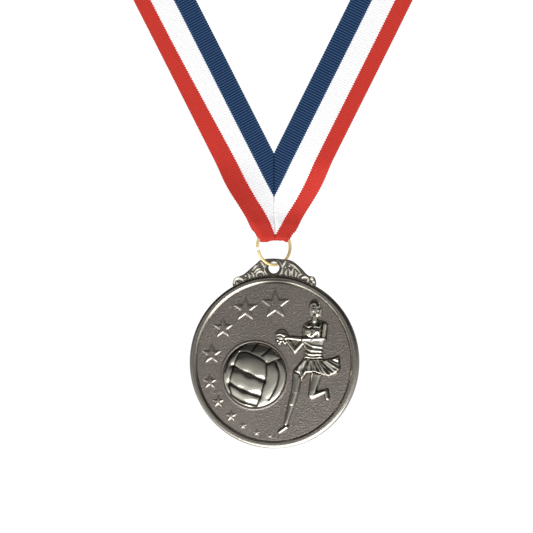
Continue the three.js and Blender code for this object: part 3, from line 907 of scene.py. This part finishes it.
# Half of the route, from the V's point to the back of the neck, in metres in the frame.
route = [
    (0, -0.147, -0.2037), (0.0129, -0.147, -0.1786), (0.0258, -0.147, -0.1535), (0.0388, -0.147, -0.1282),
    (0.0517, -0.147, -0.1031), (0.0646, -0.146, -0.078), (0.073, -0.139, -0.06), (0.081, -0.123, -0.043),
    (0.085, -0.101, -0.03), (0.0845, -0.077, -0.021), (0.078, -0.053, -0.014), (0.066, -0.032, -0.008),
    (0.048, -0.015, -0.004), (0.025, -0.004, -0.001),
]
neckBack = (0, 0, 0)
# half of the folded end's width at each height
foldOutline = [(foldZ, 6.1), (50.0, 6.8), (51.0, 7.6), (52.3, 8.5), (53.4, 9.8), (54.4, 10.35)]


# centripetal curve through the route, as points a small step apart
def routeCurve():
    whole = [*route, neckBack, *[(-x, y, z) for x, y, z in route[::-1]]]
    points = (np.array(whole) - np.array(discMiddle)) / mm
    ends = np.vstack([2 * points[0] - points[1], points, 2 * points[-1] - points[-2]])
    out = []
    for i in range(1, len(ends) - 2):
        p = ends[i - 1:i + 3]
        knots = np.concatenate([[0], np.cumsum(np.linalg.norm(np.diff(p, axis=0), axis=1) ** 0.5)])
        t = np.linspace(knots[1], knots[2], 40, endpoint=False)[:, None]

        def blendPair(a, b, k0, k1):
            return a * (k1 - t) / (k1 - k0) + b * (t - k0) / (k1 - k0)

        a = [blendPair(p[j], p[j + 1], knots[j], knots[j + 1]) for j in range(3)]
        b = [blendPair(a[j], a[j + 1], knots[j], knots[j + 2]) for j in range(2)]
        out.append(blendPair(b[0], b[1], knots[1], knots[2]))
    return np.vstack([*out, points[-1:]])


def alongCurve(curve, distances):
    run = np.concatenate([[0], np.cumsum(np.linalg.norm(np.diff(curve, axis=0), axis=1))])
    return np.c_[[np.interp(distances, run, curve[:, k]) for k in range(3)]].T, run[-1]


# Which way the outer edge points: sideways on a leg, down round the neck.
def outerEdges(points, tangents):
    angle = math.radians(ribbon["angle"])
    middleY = (neckBack[1] - discMiddle.y) / mm / 2
    rise = smooth(points[:, 1] / 60)[:, None]
    leg = np.tile([math.cos(angle), 0, -math.sin(angle)], (len(points), 1))
    out = np.c_[points[:, 0], points[:, 1] - middleY]
    out /= np.linalg.norm(out, axis=1)[:, None]
    neck = np.c_[out * 0.3, -np.ones(len(points))]
    edge = leg * (1 - rise) + neck / np.linalg.norm(neck, axis=1)[:, None] * rise
    edge -= tangents * (edge * tangents).sum(1)[:, None]
    return edge / np.linalg.norm(edge, axis=1)[:, None]


# Half the strip as rows across it. Returns positions and (across, along) for one face.
def halfStrip(curve, columns):
    width, angle = ribbon["width"], math.radians(ribbon["angle"])
    _, total = alongCurve(curve, [0])
    seamZ = curve[0][2]
    foot = (foldZ - seamZ) * math.cos(angle)
    rows = round((total / 2 - foot) / ribbon["rowStep"])
    s = np.linspace(foot, total / 2, rows + 1)
    inner = np.clip(-s * math.tan(angle), -width / 2, width / 2)
    outer = np.array([outerReach(v, inner[i], seamZ) for i, v in enumerate(s)])
    e = inner[:, None] + (outer - inner)[:, None] * columns[None, :]
    middle, _ = alongCurve(curve, np.clip(s, 0, None))
    ahead, _ = alongCurve(curve, np.clip(s, 0, None) + 0.5)
    tangent = (ahead - middle) / np.linalg.norm(ahead - middle, axis=1)[:, None]
    straight = np.array([math.sin(angle), 0, math.cos(angle)])
    onLeg = (s < ribbon["straight"])[:, None]
    tangent = np.where(onLeg, straight, tangent)
    middle = np.where(onLeg, curve[0] + s[:, None] * straight, middle)
    edge = outerEdges(middle, tangent)
    back = np.cross(tangent, edge)
    scallops = ribbon["scallop"] * np.abs(np.sin(math.pi * s / ribbon["ribPitch"]))
    selvedge = np.zeros_like(e)
    selvedge[:, -1] = scallops
    selvedge[s > width / 2 / math.tan(angle), 0] = -scallops[s > width / 2 / math.tan(angle)]
    flat = middle[:, None, :] + edge[:, None, :] * (e + selvedge)[:, :, None]
    return flat, back, s, e


# how far across the row at s runs before the folded end's outline stops it
def outerReach(s, inner, seamZ):
    angle = math.radians(ribbon["angle"])
    full = ribbon["width"] / 2
    e = np.linspace(inner, full, 240)
    x = s * math.sin(angle) + e * math.cos(angle)
    z = seamZ + s * math.cos(angle) - e * math.sin(angle)
    heights, widths = zip(*foldOutline)
    limit = np.where(z > heights[-1], 999, np.interp(z, heights, widths))
    good = (z >= foldZ - 1e-6) & (x <= limit)
    if good.all():
        return full
    stop = np.argmax(~good)
    return e[max(stop - 1, 0)]


# thickness either side of the middle surface: the folded end is a pocket round the ring
def pocketDepth(z, face):
    lift = smooth((z - foldZ) / 1.6)
    shut = smooth((z - ribbon["flexFoot"]) / 3.2)
    pocket = 0.35 + 1.0 * lift * (1 - shut) + 0.25 * shut
    if face > 0:
        flap = np.where(z < ribbon["flapTop"], 0.75, ribbon["half"])
        return np.where(z < ribbon["flexFoot"], pocket, pocket * (1 - shut) + flap * shut)
    thin = smooth((z - 58) / 3)
    return pocket * (1 - thin) + ribbon["half"] * thin


def twistPoints(points):
    share = 1 - smooth((points[..., 2] - ribbon["twistFoot"]) / (ribbon["twistTop"] - ribbon["twistFoot"]))
    turn = np.radians(wire["twist"]) * share
    x, y = points[..., 0], points[..., 1]
    out = points.copy()
    out[..., 0] = x * np.cos(turn) - y * np.sin(turn)
    out[..., 1] = x * np.sin(turn) + y * np.cos(turn)
    return out


def makeRibbon(material):
    curve = routeCurve()
    columns = np.array([0, 0.03, 0.1, 0.2, 0.3, 0.4, 0.5, 0.6, 0.7, 0.8, 0.9, 0.97, 1.0])
    flat, back, s, e = halfStrip(curve, columns)
    n = len(columns)
    rib = ribbon["rib"] * np.cos(2 * math.pi * s / ribbon["ribPitch"])[:, None]
    round_ = 1 - 0.75 * np.abs(2 * columns - 1)[None, :] ** 14  # edges are thinner
    slack = 0.5 * np.sin(s / 31.0) * smooth((s - 40) / 60)  # the legs aren't quite flat
    points, faces, uvs = [], [], []
    for side in (1, -1):
        skins = []
        for face in (-1, 1):
            depth = pocketDepth(flat[:, :, 2], face) * round_ + rib * (np.abs(2 * columns - 1) < 0.99)
            offset = face * depth + slack[:, None]
            skin = flat + back[:, None, :] * offset[:, :, None]
            skin[:, 0, 0] = np.maximum(skin[:, 0, 0], 0.02 if face < 0 else 0)  # the sides butt at the seam
            skin = skin * np.array([side, 1, 1])
            x, low = skin[..., 0], 1 - smooth((skin[..., 2] - foldZ) / 3)
            skin[..., 2] += low * (0.3 - 0.8 * smooth(-x / 4) - 0.6 * smooth((x - 4) / 2))  # a wavy fold
            skins.append(twistPoints(skin))
        start = sum(len(p) for p in points)
        rows = len(s)
        points += [skins[0].reshape(-1, 3), skins[1].reshape(-1, 3)]
        shift = ribbon["seamShift"] * (1 - smooth((s + 8) / 18))  # the seam takes up some of the blue
        across = e + ribbon["width"] / 2
        fade = smooth((s + 7) / 12) * (1 - smooth((s - 10) / 85))
        tuck = ribbon["leftTuck"] * (side < 0) * smooth((across - 9) / 5) * fade[:, None]
        coords = np.stack([across + shift[:, None] + tuck, np.repeat(s[:, None], n, 1)], -1).reshape(-1, 2)
        uvs += [coords, coords]
        index = start + np.arange(rows * n).reshape(rows, n)
        other = index + rows * n
        for grid, flip in ((index, side > 0), (other, side < 0)):
            quads = cellsOf(grid)
            faces += (quads if flip else quads[:, ::-1]).tolist()
        for column, flip in ((0, side > 0), (n - 1, side < 0)):
            a, b = index[:, column], other[:, column]
            quads = np.c_[a[:-1], a[1:], b[1:], b[:-1]]
            faces += (quads if flip else quads[:, ::-1]).tolist()
        faces.append([*index[0], *other[0][::-1]] if side < 0 else [*other[0], *index[0][::-1]])
    points, uvs = np.vstack(points), np.vstack(uvs)
    piece = addPiece("neckRibbon", place(points), faces, material)
    strip = piece.data.uv_layers.new(name="strip")
    loops = np.zeros(len(piece.data.loops), int)
    piece.data.loops.foreach_get("vertex_index", loops)
    strip.data.foreach_set("uv", uvs[loops].ravel().astype(np.float32))
    mend(piece, weldWithin=2e-6, above=discMiddle.z + 0.2)  # the two halves meet behind the neck
    return piece, curve


weave = {
    "blueShadedTrough": (0.005, 0.013, 0.042), "blueLitRidge": (0.042, 0.105, 0.23), "white": (0.86, 0.86, 0.87),
    "red": (0.54, 0.038, 0.027), "seam": (0.004, 0.01, 0.03), "blueTo": 8.1, "whiteTo": 16.5, "rough": 0.75,
    "wander": 0.34, "edgeLift": 0.35, "threadPitch": 0.42, "sewnTo": 24.0,
}


def mapSmooth(tree, value, low, high):
    node = tree.nodes.new("ShaderNodeMapRange")
    node.interpolation_type = "SMOOTHSTEP"
    node.inputs["From Min"].default_value = low
    node.inputs["From Max"].default_value = high
    tree.links.new(value, node.inputs["Value"])
    return node.outputs["Result"]


def ribbonMaterial():
    material, tree, shader = newMaterial("wovenRibbon")
    strip = tree.nodes.new("ShaderNodeUVMap")
    strip.uv_map = "strip"
    split = tree.nodes.new("ShaderNodeSeparateXYZ")
    tree.links.new(strip.outputs["UV"], split.inputs[0])
    across, along = split.outputs["X"], split.outputs["Y"]
    stretch = tree.nodes.new("ShaderNodeVectorMath")
    stretch.operation = "MULTIPLY"
    stretch.inputs[1].default_value = (1.2, 0.35, 1)
    tree.links.new(strip.outputs["UV"], stretch.inputs[0])
    fibres = noise(tree, 3.0, 3, stretch.outputs[0])
    ridge = mathNode(tree, "COSINE", mathNode(tree, "MULTIPLY", along, 2 * math.pi / ribbon["ribPitch"]))
    ridge = mathNode(tree, "MULTIPLY_ADD", ridge, 0.5, 0.5)
    # each rib carries its stripe's colour a little past the edge
    wander = mathNode(tree, "MULTIPLY_ADD", ridge, -weave["wander"], across)
    isWhite = mathNode(tree, "GREATER_THAN", wander, weave["blueTo"] - weave["wander"] / 2)
    isRed = mathNode(tree, "GREATER_THAN", wander, weave["whiteTo"])
    fromMiddle = mathNode(tree, "ABSOLUTE", mathNode(tree, "SUBTRACT", across, weave["blueTo"] / 2))
    # painted light and shade on the ribs: ridges lighter, troughs darker, the blue ridges lighter still near
    # the stripe's edges
    edgeLift = mathNode(tree, "MULTIPLY", mapSmooth(tree, fromMiddle, 2.6, 4.1), weave["edgeLift"])
    lift = mathNode(tree, "ADD", edgeLift, mathNode(tree, "ADD", fibres, 0.3))
    light = mathNode(tree, "MULTIPLY", mathNode(tree, "POWER", ridge, 1.6), lift)
    blue = mixColour(tree, light, weave["blueShadedTrough"], weave["blueLitRidge"])
    white = mixColour(tree, ridge, tuple(0.97 * c for c in weave["white"]), weave["white"])
    red = mixColour(tree, ridge, tuple(0.86 * c for c in weave["red"]), weave["red"])
    colour = mixColour(tree, isRed, mixColour(tree, isWhite, blue, white), red)
    # the sewn middle line sits a little lower and darker
    slope = math.tan(math.radians(ribbon["angle"]))
    fromMiddle = mathNode(tree, "SUBTRACT", across, ribbon["width"] / 2)
    fromSeam = mathNode(tree, "MULTIPLY_ADD", along, slope, fromMiddle)
    nearSeam = mathNode(tree, "SUBTRACT", 1.0, mapSmooth(tree, fromSeam, 0.1, 0.55))
    seamShade = mathNode(tree, "MULTIPLY", nearSeam, 0.6)
    isSewn = mathNode(tree, "LESS_THAN", along, weave["sewnTo"])
    colour = mixColour(tree, mathNode(tree, "MULTIPLY", seamShade, isSewn), colour, weave["seam"])
    tree.links.new(colour, shader.inputs["Base Color"])
    shader.inputs["Roughness"].default_value = weave["rough"]
    shader.inputs["Specular IOR Level"].default_value = 0.12
    threads = mathNode(tree, "SINE", mathNode(tree, "MULTIPLY", across, 2 * math.pi / weave["threadPitch"]))
    height = mathNode(tree, "ADD", ridge, mathNode(tree, "MULTIPLY", threads, 0.12))
    bumpInto(tree, shader, mathNode(tree, "ADD", height, mathNode(tree, "MULTIPLY", fibres, 0.12)), 0.00006)
    return material


ribbonPaint = ribbonMaterial()
neckRibbon, ribbonLine = makeRibbon(ribbonPaint)
print("ribbon ready", len(neckRibbon.data.polygons))

# Stitches: ladder stitches over the seam at the back, a double row across the folded end
thread = {
    "radius": 0.17, "lift": 0.2, "steps": 8, "sides": 8,
    "pale": (0.82, 0.82, 0.84), "red": (0.5, 0.03, 0.025),
    "seamFoot": 65.0, "seamPitch": 2.2, "seamReach": 0.8, "seamSlant": 0.35,
    "rows": (59.3, 61.6), "rowPitch": 1.9, "rowReach": 9.4,
}


def threadMaterial(name, colour):
    material, tree, shader = newMaterial(name)
    grain = addGroup(tree, grainGroup, Scale=5000.0, Patch_Scale=900.0)
    dark = tuple(c * 0.75 for c in colour)
    tree.links.new(mixColour(tree, grain.outputs["Tone"], colour, dark), shader.inputs["Base Color"])
    shader.inputs["Roughness"].default_value = 0.6
    bumpInto(tree, shader, grain.outputs["Height"], 0.00003)
    return material


# one stitch: a thread that rises from the cloth at a, arches and goes down at b
def addStitch(work, a, b, lift):
    a, b, lift = Vector(a), Vector(b), Vector(lift)
    side, up = (b - a).cross(lift).normalized(), lift.normalized()
    steps, sides = thread["steps"], thread["sides"]
    turns = [2 * math.pi * k / sides for k in range(sides)]
    rings = []
    for i in range(steps + 1):
        t = i / steps
        centre = a.lerp(b, t) + lift * (math.sin(math.pi * t) ** 0.6 - 0.35)
        radius = thread["radius"] * (0.45 if i in (0, steps) else 1)
        spokes = [math.cos(c) * side + math.sin(c) * up for c in turns]
        rings.append([work.verts.new(centre + radius * spoke) for spoke in spokes])
    for first, second in zip(rings[:-1], rings[1:]):
        for k in range(sides):
            after = (k + 1) % sides
            work.faces.new((first[k], first[after], second[after], second[k]))
    work.faces.new(rings[0])
    work.faces.new(rings[-1])


def finishStitches(work, name, material, nodeName):
    for vert in work.verts:
        vert.co = place(twistPoints(np.array(vert.co)))
    bmesh.ops.recalc_face_normals(work, faces=work.faces)
    piece = pieceFromWork(name, work, material)
    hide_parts(nodeName)
    return piece


# how far behind the middle surface the cloth's back lies at a height
def clothBack(z):
    return float(pocketDepth(np.array([z]), 1)[0])


def makeSeamStitches():
    work = bmesh.new()
    reach, slant = thread["seamReach"], thread["seamSlant"]
    z = thread["seamFoot"]
    while z < ribbon["crotch"] - 1:
        y = clothBack(z)
        addStitch(work, (-reach, y, z - slant), (reach, y, z + slant), (0, thread["lift"], 0))
        z += thread["seamPitch"]
    return finishStitches(work, "seamStitches", threadMaterial("paleThread", thread["pale"]), "seam_thread")


def makeEndStitches():
    work = bmesh.new()
    reach, pitch = thread["rowReach"], thread["rowPitch"]
    for z in thread["rows"]:
        y = clothBack(z)
        for x in np.arange(-reach, reach - pitch / 2, pitch):
            addStitch(work, (x + 0.2, y, z), (x + pitch - 0.25, y, z), (0, thread["lift"], 0))
    return finishStitches(work, "endStitches", threadMaterial("redThread", thread["red"]), "end_thread")


seamStitches = makeSeamStitches()
endStitches = makeEndStitches()
print("stitches ready")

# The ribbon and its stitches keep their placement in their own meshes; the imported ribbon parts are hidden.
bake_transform(neckRibbon)
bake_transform(seamStitches)
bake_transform(endStitches)
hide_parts("neck_ribbon", "ribbon_end")
